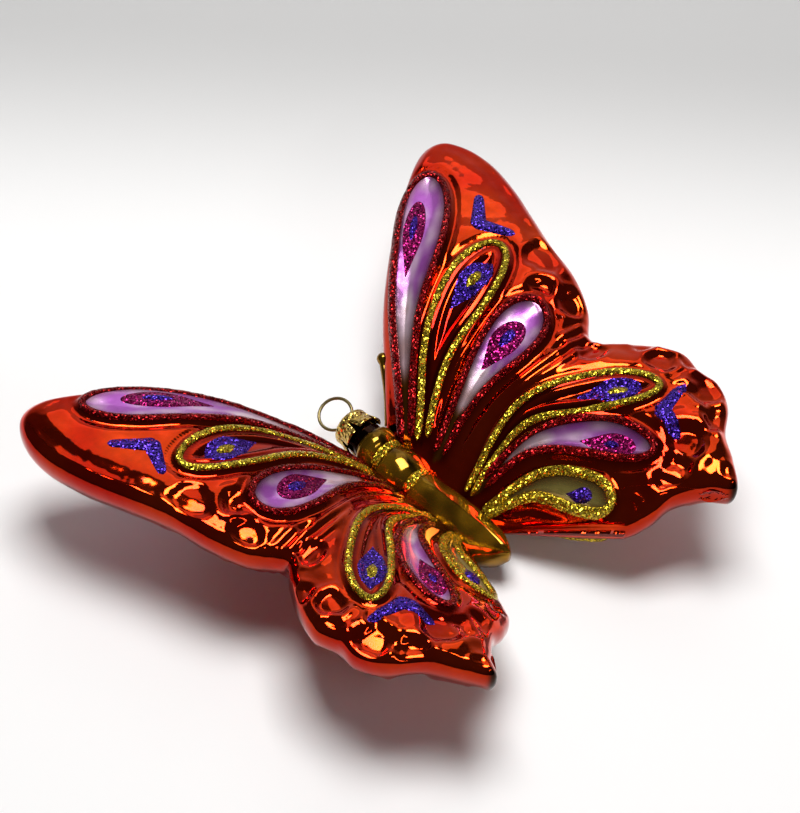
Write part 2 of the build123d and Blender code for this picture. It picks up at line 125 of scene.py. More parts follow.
# Hollows pressed in the margins: place as shares, radius and depth in millimetres
HOLLOWS = [
    (0.685, 0.135, 4.4, 1.7), (0.728, 0.078, 4.8, 1.5), (0.565, 0.030, 3.0, 1.1),
    (0.790, 0.185, 6.5, 0.9), (0.735, -0.150, 4.8, 1.5), (0.692, -0.222, 2.6, 0.9),
    (0.752, -0.258, 6.0, 1.9), (0.690, -0.318, 5.2, 1.6), (0.545, -0.310, 7.5, 2.2),
    (0.450, -0.330, 5.6, 1.5), (0.285, -0.312, 3.4, 1.2), (0.560, -0.412, 2.6, 0.8),
    (0.775, -0.085, 4.0, 1.1), (0.812, -0.185, 3.6, 1.0), (0.630, -0.030, 4.2, 1.0),
]
FOLD_SHARES = [(0.680, 0.005), (0.500, 0.014), (0.320, 0.030), (0.160, 0.026)]

# Body rings: place along the length, half width, crest, belly, and how peaked the back is
BODY_SHARES = [
    (0.000, 0.10, 0.86, 0.60, 1.0), (0.050, 0.46, 0.94, 0.34, 1.4), (0.130, 0.80, 0.98, 0.14, 1.7),
    (0.240, 1.00, 1.00, -0.02, 1.9), (0.380, 1.02, 1.01, -0.06, 1.9), (0.520, 0.96, 1.00, -0.06, 1.6),
    (0.600, 0.86, 0.97, -0.06, 1.15), (0.640, 0.80, 0.93, -0.05, 1.0), (0.700, 0.98, 1.04, -0.04, 1.0),
    (0.760, 1.02, 1.08, -0.02, 1.0), (0.820, 0.94, 1.05, 0.06, 1.0), (0.855, 0.84, 1.01, 0.12, 1.0),
    (0.905, 0.93, 1.16, 0.22, 1.0), (0.955, 0.90, 1.17, 0.33, 1.0), (0.985, 0.70, 1.07, 0.50, 1.0),
    (1.000, 0.40, 0.98, 0.62, 1.0),
]
BANDS = [(0.640, 52.0), (0.855, 62.0)]

# Glitter on each wing, by node: cell outlines, then rings, centres and chevrons
GLITTER = {
    "forewing_gold": {"outlines": ["fore_gold"], "centres": ["fore_gold"]},
    "forewing_red": {"outlines": ["leading", "fore_pink"]},
    "forewing_purple": {"rings": ["fore_gold"], "centres": ["leading", "fore_pink"], "chevrons": ["fore"]},
    "forewing_magenta": {"rings": ["leading", "fore_pink"]},
    "hindwing_gold": {"outlines": ["hind_gold", "hind_inner"], "centres": ["hind_gold"]},
    "hindwing_red": {"outlines": ["hind_pink"]},
    "hindwing_purple": {"rings": ["hind_gold"], "centres": ["hind_pink", "hind_inner"], "chevrons": ["hind"]},
    "hindwing_magenta": {"rings": ["hind_pink"]},
}


def linear(hex_colour):
    """Linear red, green and blue of an sRGB hex value."""
    channels = [int(hex_colour[i:i + 2], 16) / 255 for i in (0, 2, 4)]
    return tuple(c / 12.92 if c <= 0.04045 else ((c + 0.055) / 1.055) ** 2.4 for c in channels)


def length(name, description, millimetres):
    """A length property, given in millimetres."""
    return FloatProperty(
        name=name, description=description, default=millimetres * MM, unit="LENGTH", precision=5)


def colour(name, description, hex_colour):
    """A colour property, given as an sRGB hex value."""
    return FloatVectorProperty(
        name=name, description=description, default=linear(hex_colour), size=3, subtype="COLOR",
        min=0.0, max=1.0)


class WingSizes(bpy.types.PropertyGroup):
    """Sizes of the blown wings."""

    half_span: length("Half span", "From the mirror plane to the wing tip", 82.5)
    span_length: length("Wing length", "From wing tip to tail along the body", 143.0)
    top_thickness: length("Top thickness", "Of the full wing over its middle", 5.6)
    belly_thickness: length("Belly thickness", "Of the full wing under its middle", 8.4)
    root_half_thickness: length("Root half thickness", "Of the wing at the body", 3.4)
    root_blend: length("Root blend", "Length over which the wing fills out", 16.0)
    top_rim: length("Top rim radius", "Depth of the rounded rim above", 10.0)
    belly_rim: length("Belly rim radius", "Depth of the rounded rim below", 8.0)
    root_x: length("Root place", "Where the wing leaves the body", 7.0)
    root_height: length("Root height", "Middle of the wing at the body", 9.4)
    rise: length("Rise", "From the root to the level part of the wing", 25.0)
    arch: length("Arch length", "Run over which the wing rises", 50.0)
    notch_droop: length("Notch droop", "Drop of the margin beside the notch", 4.5)
    notch_radius: length("Notch radius", "Reach of that drop", 17.0)
    dish: length("Dish depth", "Of the teardrop cells", 1.2)
    lip: length("Lip height", "Of the ridge that carries the glitter outline", 0.45)
    groove: length("Groove depth", "Of the valley outside each outline", 0.75)
    dent: length("Dent depth", "Of the chance unevenness along the margins", 0.4)
    bead: length("Bead height", "Of the raised edge along the margins", 0.3)
    fold: length("Fold height", "Of the folds that run from the notch to the root", 0.5)
    ripple: length("Ripple", "Unevenness left by blowing", 0.12)
    root_run: length("Root run", "Reach of the cells towards the body", 4.5)
    hub_x: length("Hub place", "Line inside the body that the wing fans out from", 3.0)
    hub_front: length("Hub front", "Front end of that line", 20.4)
    hub_back: length("Hub back", "Back end of that line", -13.2)


class BodySizes(bpy.types.PropertyGroup):
    """Sizes of the body and the neck."""

    crest: length("Crest height", "Back of the abdomen over the belly", 15.0)
    half_width: length("Half width", "Of the abdomen", 7.0)
    span_length: length("Body length", "From the abdomen's tip to the face", 54.0)
    tail: length("Tail place", "Abdomen's tip along Y", -26.5)
    neck_radius: length("Neck radius", "Outside of the glass neck", 5.0)
    neck_height: length("Neck height", "Axis of the neck over the belly", 12.0)
    neck_root: length("Neck root", "Start of the neck inside the head", 24.0)
    neck_end: length("Neck end", "Mouth of the neck", 34.4)
    antenna_radius: length("Antenna radius", "Of the feeler along the wing", 1.2)
    club_radius: length("Club radius", "Of the knob that ends the feeler", 1.8)


class TrimSizes(bpy.types.PropertyGroup):
    """Sizes of the glitter, laid on glue."""

    outline_width: length("Outline width", "Of the glitter round a cell", 2.0)
    inner_width: length("Inner outline width", "Of the glitter round the cell beside the abdomen", 2.3)
    outline_height: length("Outline height", "Of the glitter round a cell", 0.8)
    pad_height: length("Pad height", "Of a glitter spot", 0.7)
    chevron_width: length("Chevron width", "At the corner of the stroke", 5.0)
    band_width: length("Band width", "Of the glitter across the body", 2.2)
    flake: length("Flake size", "Of one flake, coarser than real so that it shows", 0.38)


class HangerSizes(bpy.types.PropertyGroup):
    """Sizes of the hanger cap and the spring clip."""

    cap_clearance: length("Cap clearance", "Between neck and cap", 0.2)
    cap_wall: length("Cap wall", "Thickness of the sheet", 0.3)
    cap_skirt: length("Cap skirt", "Length of the skirt", 5.8)
    cap_dome: length("Cap dome", "Height of the dome", 1.3)
    cap_flare: length("Cap flare", "Spread of the petals at the hem", 0.8)
    cap_flare_run: length("Flare length", "Part of the skirt that spreads", 3.6)
    petal_gap: length("Petal gap", "Between two petals at the hem", 1.8)
    petal_depth: length("Petal depth", "Length of the slits", 4.4)
    seat_gap: length("Seat gap", "Between the mouth of the neck and the cap", 0.1)
    emboss: length("Emboss size", "Width of one crinkle in the sheet", 1.1)
    wire_radius: length("Wire radius", "Of the clip", 0.45)
    loop_radius: length("Loop radius", "To the middle of the wire", 4.7)
    loop_centre: length("Loop centre", "Along Y", 39.9)
    shoulder: length("Shoulder radius", "Bend between loop and leg", 1.2)
    leg_offset: length("Leg offset", "From the axis to each leg", 2.75)
    leg_end: length("Leg end", "Where the legs begin to spread", 27.5)
    leg_flare: length("Leg flare", "Radius of the spread ends", 6.0)
    tilt: FloatProperty(name="Clip tilt", description="Turn of cap and clip about the neck",
                        default=math.radians(26), subtype="ANGLE")


class FinishColours(bpy.types.PropertyGroup):
    """Colours of lacquer, glitter and metal."""

    red: colour("Red lacquer", "Red-orange lacquer of the wings", "DC2408")
    orange: colour("Orange lacquer", "Where the red lacquer is thin", "F2500F")
    # Deep red is partly lacquer pooling and partly painted shade in grooves, channels and at the rim
    deep_red_and_shade: colour("Deep red", "Where the lacquer pools, and painted shade in creases and at the rim", "700302")
    lilac: colour("Lilac lacquer", "Outer part of the pink cells", "B560C2")
    pale: colour("Bare silver", "Middle of the pink cells", "E6CCDA")
    amber: colour("Amber lacquer", "Root of the pink cells", "D98A1E")
    olive: colour("Olive lacquer", "Cell beside the abdomen", "A89A52")
    gold: colour("Gold lacquer", "Body", "A87A16")
    # Umber is the feelers' and tail tips' lacquer, and also painted shade on the body's creases, underside
    # and crest and on the neck
    umber_and_shade: colour("Umber lacquer", "Painted shade on body and neck, and the feelers and tail tips", "2A1205")
    gold_glitter: colour("Gold glitter", "Outlines and centres", "BFA52A")
    red_glitter: colour("Red glitter", "Outlines of the pink cells", "7E090C")
    purple_glitter: colour("Purple glitter", "Spots and chevrons", "46289E")
    magenta_glitter: colour("Magenta glitter", "Spots of the pink cells", "8E1258")
    cap: colour("Cap gold", "Hanger cap", "D9B45A")
    wire: colour("Wire", "Spring clip", "8A7B52")
    floor: colour("Floor", "Floor and backdrop", "F2F1F0")


def smooth_line(points, steps):
    """Points on a Catmull-Rom curve through the given rows."""
    knots = np.array(points, float)
    knots = np.vstack([2 * knots[0] - knots[1], knots, 2 * knots[-1] - knots[-2]])
    t = (np.arange(steps) / steps)[:, None]
    spans = []
    for a, b, c, d in zip(knots, knots[1:], knots[2:], knots[3:]):
        square, cube = 2 * a - 5 * b + 4 * c - d, 3 * b - a - 3 * c + d
        spans.append(0.5 * (2 * b + (c - a) * t + square * t**2 + cube * t**3))
    return np.vstack(spans + [knots[-2]])


def smooth_step(value):
    """Rise from 0 to 1 with level ends."""
    t = np.clip(value, 0.0, 1.0)
    return t * t * (3 - 2 * t)


def bell(value, width):
    """Smooth bump of height 1 about zero."""
    return np.exp(-(value / width) ** 2)


def teardrop(share, widest):
    """Half width of a teardrop along its length, 1 at its widest place and round at its end."""
    share = np.asarray(share, float)
    out = ROOT_WIDTH_SHARE + (1 - ROOT_WIDTH_SHARE) * smooth_step(share / widest)
    end = np.sqrt(np.clip(1 - ((share - widest) / (1 - widest)) ** 2, 0, 1))
    return np.where(share < widest, out, end)


def nearest(points, line):
    """Distance from plan points to a polyline, and the share of its segments where the nearest point lies."""
    start, run = line[:-1], np.diff(line, axis=0)
    squared = (run**2).sum(1)
    distance, place = np.empty(len(points)), np.empty(len(points))
    chunk = 4000
    for first in range(0, len(points), chunk):
        p = points[first:first + chunk, None, :]
        t = np.clip(((p - start) * run).sum(2) / squared, 0, 1)
        gap = ((p - start - t[..., None] * run) ** 2).sum(2)
        best = gap.argmin(1)
        rows = np.arange(len(best))
        distance[first:first + chunk] = np.sqrt(gap[rows, best])
        place[first:first + chunk] = (best + t[rows, best]) / len(run)
    return distance, place


def even_line(line, step):
    """The same line with points at an even spacing."""
    along = np.concatenate([[0], np.cumsum(np.linalg.norm(np.diff(line, axis=0), axis=1))])
    places = np.linspace(0, along[-1], max(4, round(along[-1] / step)))
    return np.stack([np.interp(places, along, line[:, k]) for k in range(line.shape[1])], 1)


def side_of(line):
    """Unit normals to the left of a plan line."""
    run = np.gradient(line, axis=0)
    run /= np.linalg.norm(run, axis=1)[:, None]
    return np.stack([-run[:, 1], run[:, 0]], 1)


def uneven(points, size, seed):
    """Smooth random values, about -1 to 1, over points."""
    offset = Vector((seed * 7.3, seed * 3.1, seed * 5.7))
    return np.array([noise.noise(Vector(p) / size + offset) for p in points])


class WingForm:
    """The right wing's plan, arch and relief."""

    def __init__(self, sizes):
        self.sizes = sizes
        self.scale = np.array([sizes.half_span, sizes.span_length])
        self.outline = smooth_line(np.array(OUTLINE_SHARES) * self.scale, 14)
        self.folds = smooth_line(np.array(FOLD_SHARES) * self.scale, 10)
        last = LAST_STATION_SHARE * (len(self.outline) - 1)
        end = self.outline[int(last)] + (self.outline[int(last) + 1] - self.outline[int(last)]) * (last % 1)
        self.border = np.vstack([
            (sizes.hub_x, sizes.hub_front), self.outline[:int(last) + 1], end, (sizes.hub_x, sizes.hub_back)])
        self.cells = {}
        for name, (points, width, widest, start, lacquer) in CELLS.items():
            knots = np.array(points) * self.scale
            knots[0] += (knots[0] - knots[1]) / np.linalg.norm(knots[0] - knots[1]) * sizes.root_run
            line = smooth_line(knots, 16)
            edge = self.cell_edge(line, width, widest, start)
            self.cells[name] = (line, width * sizes.half_span, widest, lacquer, edge)

    def cell_edge(self, line, width, widest, start):
        """Hairpin line out along one side of a cell, round its end and back along the other."""
        shares = np.concatenate([
            np.linspace(start, widest, 30, endpoint=False),
            widest + (1 - widest) * np.sin(np.linspace(0, math.pi / 2, 24)),
        ])
        place = np.linspace(0, 1, len(line))
        middle = np.stack([np.interp(shares, place, line[:, k]) for k in (0, 1)], 1)
        normal = np.stack([np.interp(shares, place, side_of(line)[:, k]) for k in (0, 1)], 1)
        reach = (width * self.sizes.half_span * teardrop(shares, widest))[:, None]
        return np.vstack([middle + normal * reach, (middle - normal * reach)[-2::-1]])

    def middle(self, points):
        """Height of the wing's middle surface."""
        s = self.sizes
        along = np.minimum((points[:, 0] - s.root_x) / s.arch, 1)
        reach = np.linalg.norm(points - np.array(NOTCH_SHARE) * self.scale, axis=1) / s.notch_radius
        return s.root_height + s.rise * np.sin(math.pi / 2 * along) - s.notch_droop * np.exp(-reach**2)

    def relief(self, points):
        """Height of lips, dishes, hollows, folds and the raised edge over the plain pillow."""
        s = self.sizes
        height = np.zeros(len(points))
        free = np.ones(len(points))
        for line, width, widest, lacquer, edge in self.cells.values():
            gap, place = nearest(points, line)
            inside = gap < width * teardrop(place, widest)
            depth = nearest(points, edge)[0]
            height += s.lip * bell(depth, 1.3 * MM)
            dish = smooth_step(depth / (0.8 * width))
            if lacquer == "red":
                dish = dish - 0.7 * bell(depth - 0.46 * width, 0.9 * MM)
            groove = bell(depth - 2.4 * MM, 1.1 * MM)
            height -= np.where(inside, s.dish * dish, s.groove * groove)
            free *= np.where(inside, 0, smooth_step((depth - 2 * MM) / (4 * MM)))
        plan = np.column_stack([points, np.zeros(len(points))])
        chance = np.abs(uneven(plan, 14 * MM, 6)) ** 0.7 - 0.35 + 0.4 * uneven(plan, 6 * MM, 7)
        wobble = 0.24 * uneven(plan, 4 * MM, 9)
        height -= s.dent * free * chance
        for x, y, radius, depth in HOLLOWS:
            reach = np.linalg.norm(points - np.array((x, y)) * self.scale, axis=1) / (radius * MM) + wobble
            wall = smooth_step((reach - 0.5) / 0.5) - 1 + 0.2 * bell(reach - 1.15, 0.2)
            height += depth * MM * free * wall
        off = nearest(points, self.folds)[0]
        height += s.fold * free * np.cos(off / (0.55 * MM)) * bell(off, 5 * MM)
        rim = nearest(points, self.outline)[0]
        edge = bell(rim - 2.2 * MM, 0.9 * MM) - 0.8 * bell(rim - 5 * MM, 1.7 * MM)
        height += s.bead * free * edge
        return height * smooth_step((points[:, 0] - 6 * MM) / (10 * MM))

    def height(self, points, face):
        """Height of the upper (face 1) or lower (face -1) surface."""
        s = self.sizes
        thickness, rim = (s.top_thickness, s.top_rim) if face > 0 else (s.belly_thickness, s.belly_rim)
        across = np.clip(nearest(points, self.border)[0] / rim, 0, 1)
        full = s.root_half_thickness + (thickness - s.root_half_thickness) * smooth_step(
            (points[:, 0] - s.hub_x) / s.root_blend)
        square = 2.7 if face > 0 else 2.0
        pillow = full * (1 - (1 - across) ** square) ** (1 / square)
        plan = np.column_stack([points, np.full(len(points), face * 0.02)])
        ripple = s.ripple * (uneven(plan, 9 * MM, 1) + 0.5 * uneven(plan, 4 * MM, 2))
        pattern = (self.relief(points) + ripple) * smooth_step(across * 3)
        return self.middle(points) + face * (pillow + pattern)

    def surface(self, points, face):
        """Places on the wing and the normals there."""
        step = 0.15 * MM
        z = self.height(points, face)
        slope = [(self.height(points + d, face) - z) / step for d in np.eye(2) * step]
        normal = np.stack([-slope[0], -slope[1], np.ones(len(z))], 1) * face
        return np.column_stack([points, z]), normal / np.linalg.norm(normal, axis=1)[:, None]


def mix(a, b, share):
    """Blend of two rows of colours."""
    return a + (b - a) * np.asarray(share)[:, None]


def tone(colour, mirror=1.0):
    """A lacquer colour with how much of the mirror shows through it."""
    return np.array([*colour, mirror])


def wing_lacquer_and_shade(form, points, colours):
    """Lacquer colours over plan points of the wing, with painted shade in grooves, channels and along the
    rim.
    """
    plan = np.column_stack([points, np.zeros(len(points))])
    deep_red_and_shade, lilac, pale = tone(colours.deep_red_and_shade), tone(colours.lilac, 0.6), tone(colours.pale, 0.5)
    lacquer_and_shade = np.tile(tone(colours.red), (len(points), 1))
    lacquer_and_shade = mix(lacquer_and_shade, tone(colours.orange), smooth_step(0.5 + 0.9 * uneven(plan, 14 * MM, 3)) * 0.6)
    for line, width, widest, lacquer, edge in form.cells.values():
        gap, place = nearest(points, line)
        reach = width * teardrop(place, widest)
        inside = smooth_step((reach - gap) / (0.5 * MM) + 0.5)
        depth = nearest(points, edge)[0]
        if lacquer == "lilac":
            strokes = uneven(np.column_stack([place * 24 * MM, gap, 0 * gap]), 2.2 * MM, 8)
            brushed = place + 0.16 * strokes
            fill = np.tile(tone(colours.amber), (len(points), 1))
            fill = mix(fill, pale, smooth_step((brushed - 0.12) / 0.2))
            fill = mix(fill, lilac, smooth_step((brushed - 0.3) / 0.25) * np.clip(0.8 + 0.6 * strokes, 0, 1))
        elif lacquer == "olive":
            fill = np.tile(tone(colours.olive, 0.7), (len(points), 1))
        else:
            # Painted shade: deep red in the channels either side of the raised ring of each red cell
            channel = bell(depth - 0.24 * width, 0.8 * MM) + bell(depth - 0.68 * width, 0.9 * MM)
            fill = mix(lacquer_and_shade, deep_red_and_shade, np.clip(channel, 0, 1) * 0.8)
        lacquer_and_shade = mix(lacquer_and_shade, fill, inside)
        # Painted shade: deep red along each glitter outline, in the groove beside it, partly lacquer pooling
        # there
        lacquer_and_shade = mix(lacquer_and_shade, deep_red_and_shade, 0.8 * bell(depth, 1.9 * MM))
    rim = nearest(points, form.outline)[0]
    # Painted shade: deep red along the rim where the wing turns down
    lacquer_and_shade = mix(lacquer_and_shade, deep_red_and_shade, 0.6 * (1 - smooth_step(rim / (1.2 * MM))))
    tail = np.linalg.norm(points - np.array(TAIL_SHARE) * form.scale, axis=1)
    return mix(lacquer_and_shade, tone(colours.umber_and_shade), 1 - smooth_step((tail - 0.8 * MM) / (2 * MM)))


def grid_faces(rows, columns, offset=0, flip=False):
    """Quads of a grid of vertices."""
    k = np.arange((rows - 1) * columns).reshape(rows - 1, columns)[:, :-1].ravel() + offset
    quads = np.stack([k, k + 1, k + columns + 1, k + columns], 1)
    return quads[:, ::-1] if flip else quads


def new_piece(name, vertices, faces, material, body, nodes, slot, tones=None):
    """A smooth mesh that rides on a body and stands for nodes of the frame."""
    mesh = bpy.data.meshes.new(name)
    mesh.from_pydata(np.asarray(vertices).tolist(), [], [list(map(int, f)) for f in faces])
    if tones is not None:
        layer = mesh.attributes.new("lacquer", "FLOAT_COLOR", "POINT")
        layer.data.foreach_set("color", np.ascontiguousarray(tones).ravel())
    mesh.validate()
    mesh.shade_smooth()
    mesh.materials.append(material)
    piece = bpy.data.objects.new(name, mesh)
    bpy.context.scene.collection.objects.link(piece)
    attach(piece, body)
    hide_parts(*nodes)
    return piece


def add_node(tree, kind, settings=(), inputs=()):
    """A node with its settings, and its inputs linked or set."""
    node = tree.nodes.new(kind)
    for key, value in dict(settings).items():
        setattr(node, key, value)
    for key, value in dict(inputs).items():
        if isinstance(value, bpy.types.NodeSocket):
            tree.links.new(value, node.inputs[key])
        else:
            node.inputs[key].default_value = value
    return node


def ranged(tree, value, low, high):
    """A value from 0 to 1, spread between two bounds."""
    node = add_node(tree, "ShaderNodeMapRange", inputs={"Value": value, "To Min": low, "To Max": high})
    return node.outputs["Result"]


def vector_sum(tree, operation, inputs):
    """The result of a vector operation, such as a colour times a factor."""
    return add_node(tree, "ShaderNodeVectorMath", {"operation": operation}, inputs).outputs["Vector"]


def new_material(name):
    """An empty node material: its tree, its shader and the texture coordinates of the object."""
    material = bpy.data.materials.new(name)
    material.use_nodes = True
    tree = material.node_tree
    shader = tree.nodes["Principled BSDF"]
    place = add_node(tree, "ShaderNodeTexCoord").outputs["Object"]
    return material, tree, shader, place


def lacquered_glass():
    """Silvered blown glass under transparent lacquer: a tinted mirror with clear highlights."""
    material, tree, shader, place = new_material("Silvered blown glass, lacquered")
    # The lacquer colours also hold painted shade: deep red in the wing's grooves and rim, umber on the body
    # and neck
    lacquer_and_shade = add_node(tree, "ShaderNodeAttribute", {"attribute_name": "lacquer"})
    tint, mirror = lacquer_and_shade.outputs["Color"], lacquer_and_shade.outputs["Alpha"]
    streaks = add_node(tree, "ShaderNodeTexNoise", inputs={
        "Vector": place, "Scale": 1 / (3 * MM), "Detail": 4.0})
    shade = ranged(tree, streaks.outputs["Fac"], 0.75, 1.15)
    toned = vector_sum(tree, "SCALE", {0: tint, "Scale": shade})
    waves = add_node(tree, "ShaderNodeTexNoise", inputs={
        "Vector": place, "Scale": 1 / (7 * MM), "Detail": 2.0})
    bump = add_node(tree, "ShaderNodeBump", inputs={
        "Height": waves.outputs["Fac"], "Distance": 0.22 * MM, "Strength": 1.0})
    haze = add_node(tree, "ShaderNodeMapRange", inputs={
        "Value": mirror, "From Min": 0.5, "From Max": 1.0, "To Min": 0.25, "To Max": 0.07})
    tree.links.new(mirror, shader.inputs["Metallic"])
    tree.links.new(toned, shader.inputs["Base Color"])
    tree.links.new(haze.outputs["Result"], shader.inputs["Roughness"])
    tree.links.new(bump.outputs["Normal"], shader.inputs["Normal"])
    shader.inputs["Coat Weight"].default_value = 0.12
    shader.inputs["Coat Roughness"].default_value = 0.03
    return material


def glitter(name, tint, flake):
    """Glitter flakes in glue: each flake is a small tilted mirror of its own brightness."""
    material, tree, shader, place = new_material(name)
    flakes = add_node(tree, "ShaderNodeTexVoronoi", {"feature": "F1"}, {"Vector": place, "Scale": 1 / flake})
    shade = add_node(tree, "ShaderNodeSeparateColor", inputs={"Color": flakes.outputs["Color"]})
    lift = ranged(tree, shade.outputs["Red"], 0.25, 1.9)
    toned = vector_sum(tree, "SCALE", {0: tint, "Scale": lift})
    centred = vector_sum(tree, "SUBTRACT", {0: flakes.outputs["Color"], 1: (0.5, 0.5, 0.5)})
    leaned = vector_sum(tree, "SCALE", {0: centred, "Scale": 1.3})
    normal = add_node(tree, "ShaderNodeNewGeometry").outputs["Normal"]
    tilted = vector_sum(tree, "ADD", {0: normal, 1: leaned})
    unit = vector_sum(tree, "NORMALIZE", {0: tilted})
    tree.links.new(toned, shader.inputs["Base Color"])
    tree.links.new(unit, shader.inputs["Normal"])
    shader.inputs["Metallic"].default_value = 0.85
    shader.inputs["Roughness"].default_value = 0.22
    return material


def embossed_sheet(tint, crinkle):
    """Gold-coloured sheet pressed with a crinkled pattern, with a painted highlight on its ridges and painted
    shade in its dimples.
    """
    material, tree, shader, place = new_material("Gold-coloured sheet, embossed")
    cells = add_node(tree, "ShaderNodeTexVoronoi", {"feature": "SMOOTH_F1"}, {
        "Vector": place, "Scale": 1 / crinkle, "Smoothness": 0.25})
    bump = add_node(tree, "ShaderNodeBump", inputs={
        "Height": cells.outputs["Distance"], "Distance": 0.5 * MM, "Strength": 1.0})
    # Painted highlight and shade: the sheet is lighter on its raised crinkles and darker in its dimples
    shade = ranged(tree, cells.outputs["Distance"], 0.75, 1.1)
    toned = vector_sum(tree, "SCALE", {0: tint, "Scale": shade})
    tree.links.new(toned, shader.inputs["Base Color"])
    tree.links.new(bump.outputs["Normal"], shader.inputs["Normal"])
    shader.inputs["Metallic"].default_value = 1.0
    shader.inputs["Roughness"].default_value = 0.2
    return material


def drawn_wire(tint):
    """Spring wire with a dull brass tone and the fine scratches of drawing."""
    material, tree, shader, place = new_material("Spring wire, drawn and dulled")
    grain = add_node(tree, "ShaderNodeTexNoise", inputs={
        "Vector": place, "Scale": 1 / (0.4 * MM), "Detail": 3.0})
    haze = ranged(tree, grain.outputs["Fac"], 0.22, 0.42)
    shade = ranged(tree, grain.outputs["Fac"], 0.7, 1.1)
    toned = vector_sum(tree, "SCALE", {0: tint, "Scale": shade})
    tree.links.new(toned, shader.inputs["Base Color"])
    tree.links.new(haze, shader.inputs["Roughness"])
    shader.inputs["Metallic"].default_value = 1.0
    return material


def wing_mesh(form, colours):
    """Vertices, faces and lacquer of the right wing, fanned out from a line inside the body."""
    s = form.sizes
    last = LAST_STATION_SHARE * (len(form.outline) - 1)
    stations = np.linspace(0, last, 400)
    place = np.arange(len(form.outline))
    rim = np.stack([np.interp(stations, place, form.outline[:, k]) for k in (0, 1)], 1)
    turn = np.linspace(0, 1, len(stations))
    back = s.hub_front + (s.hub_back - s.hub_front) * turn**HUB_CROWDING
    hub = np.column_stack([np.full(len(stations), s.hub_x), back])
    inner_share = 0.88
    towards_rim = np.sin(np.linspace(0, math.pi / 2, 20))
    out = np.concatenate([
        np.linspace(0, inner_share, 64, endpoint=False), 1 - (1 - inner_share) * (1 - towards_rim)])
    plan = (hub[:, None] + (rim - hub)[:, None] * out[None, :, None]).reshape(-1, 2)
    top = np.column_stack([plan, form.height(plan, 1)])
    below = np.column_stack([plan, form.height(plan, -1)])
    columns = len(out)
    edge = np.arange(columns - 1, len(plan), columns)
    below[edge] = top[edge] = np.column_stack([plan[edge], form.middle(plan[edge])])
    upper, lower = grid_faces(len(stations), columns), grid_faces(len(stations), columns, len(plan), True)
    faces = np.vstack([upper, lower])
    faces[faces >= len(plan)] = np.where(
        np.isin(faces[faces >= len(plan)] - len(plan), edge),
        faces[faces >= len(plan)] - len(plan), faces[faces >= len(plan)])
    ends = []
    for row in (0, len(stations) - 1):
        k = row * columns + np.arange(columns - 2)
        wall = np.stack([k, k + 1, k + 1 + len(plan), k + len(plan)], 1)
        ends.append(wall[:, ::-1] if row else wall)
    tones = wing_lacquer_and_shade(form, plan, colours)
    return np.vstack([top, below]), np.vstack([faces, *ends]), np.vstack([tones, tones])


def body_surface(sizes, place, turn):
    """Points on the body at places along it, at angles from the crest round to the belly."""
    table = smooth_line(BODY_SHARES, 10)
    width, crest, belly, peak = (np.interp(place, table[:, 0], table[:, k]) for k in (1, 2, 3, 4))
    half_height = sizes.crest * (crest - belly) / 2
    upper = np.cos(turn) > 0
    power = np.where(upper, peak, 0.8)
    x = np.sign(np.sin(turn)) * np.abs(np.sin(turn)) ** power * sizes.half_width * width
    z = np.sign(np.cos(turn)) * np.abs(np.cos(turn)) ** np.minimum(power, 1) * half_height
    y = sizes.tail + sizes.span_length * np.asarray(place)
    return np.stack([x, y, np.maximum(sizes.crest * (crest + belly) / 2 + z, 0)], 1)


def body_mesh(sizes, colours):
    """Vertices, faces and lacquer of the head, thorax and abdomen, with painted shade in umber."""
    places = np.linspace(0, 1, 150)
    turns = np.linspace(0, 2 * math.pi, 73)
    place, turn = (a.ravel() for a in np.meshgrid(places, turns, indexing="ij"))
    points = body_surface(sizes, place, turn)
    faces = [list(quad) for quad in grid_faces(len(places), len(turns))]
    faces.append(list(range(len(turns) - 1))[::-1])
    faces.append(list(range(len(points) - len(turns), len(points) - 1)))
    tones = np.tile(tone(colours.gold, 0.8), (len(points), 1))
    crease = sum(bell(place - band, 0.022) for band, _ in BANDS)
    ridge = bell(np.cos(turn) - 1, 0.012)
    stain = smooth_step(0.4 + 1.2 * uneven(points, 6 * MM, 10))
    # Painted shade: umber beside the glitter bands, over the lower half and along the crest; the stains are
    # random tone
    shade = 0.6 * crease + 0.5 * smooth_step(-np.cos(turn) + 0.35) + 0.4 * ridge + 0.5 * stain
    tones = mix(tones, tone(colours.umber_and_shade), np.clip(shade, 0, 0.9))
    swell = 0.3 * MM * uneven(points, 5 * MM, 11) * smooth_step(np.minimum(place, 1 - place) / 0.06)
    points = points + np.stack([np.sin(turn), 0 * turn, np.cos(turn)], 1) * swell[:, None]
    return points, faces, tones


def turned_mesh(profile, columns):
    """Vertices and faces of a profile of (radius, y) turned about the Y axis."""
    angles = np.linspace(0, 2 * math.pi, columns)
    points = [(r * math.cos(a), y, r * math.sin(a)) for r, y in profile for a in angles]
    return np.array(points), grid_faces(len(profile), columns)


def tube_mesh(path, radii, sides):
    """Vertices and faces of a round tube along a path, with closed ends."""
    run = np.gradient(path, axis=0)
    run /= np.linalg.norm(run, axis=1)[:, None]
    side = np.cross(run[0], (0.0, 0.0, 1.0))
    points = []
    for place, ahead, radius in zip(path, run, radii):
        side = side - ahead * side.dot(ahead)
        side /= np.linalg.norm(side)
        up = np.cross(ahead, side)
        for a in np.linspace(0, 2 * math.pi, sides, endpoint=False):
            points.append(place + radius * (math.cos(a) * side + math.sin(a) * up))
    faces = []
    for i in range(len(path) - 1):
        for k in range(sides):
            n = (k + 1) % sides
            faces.append((i * sides + k, i * sides + n, (i + 1) * sides + n, (i + 1) * sides + k))
    faces.append(tuple(reversed(range(sides))))
    faces.append(tuple(range((len(path) - 1) * sides, len(path) * sides)))
    return np.array(points), faces


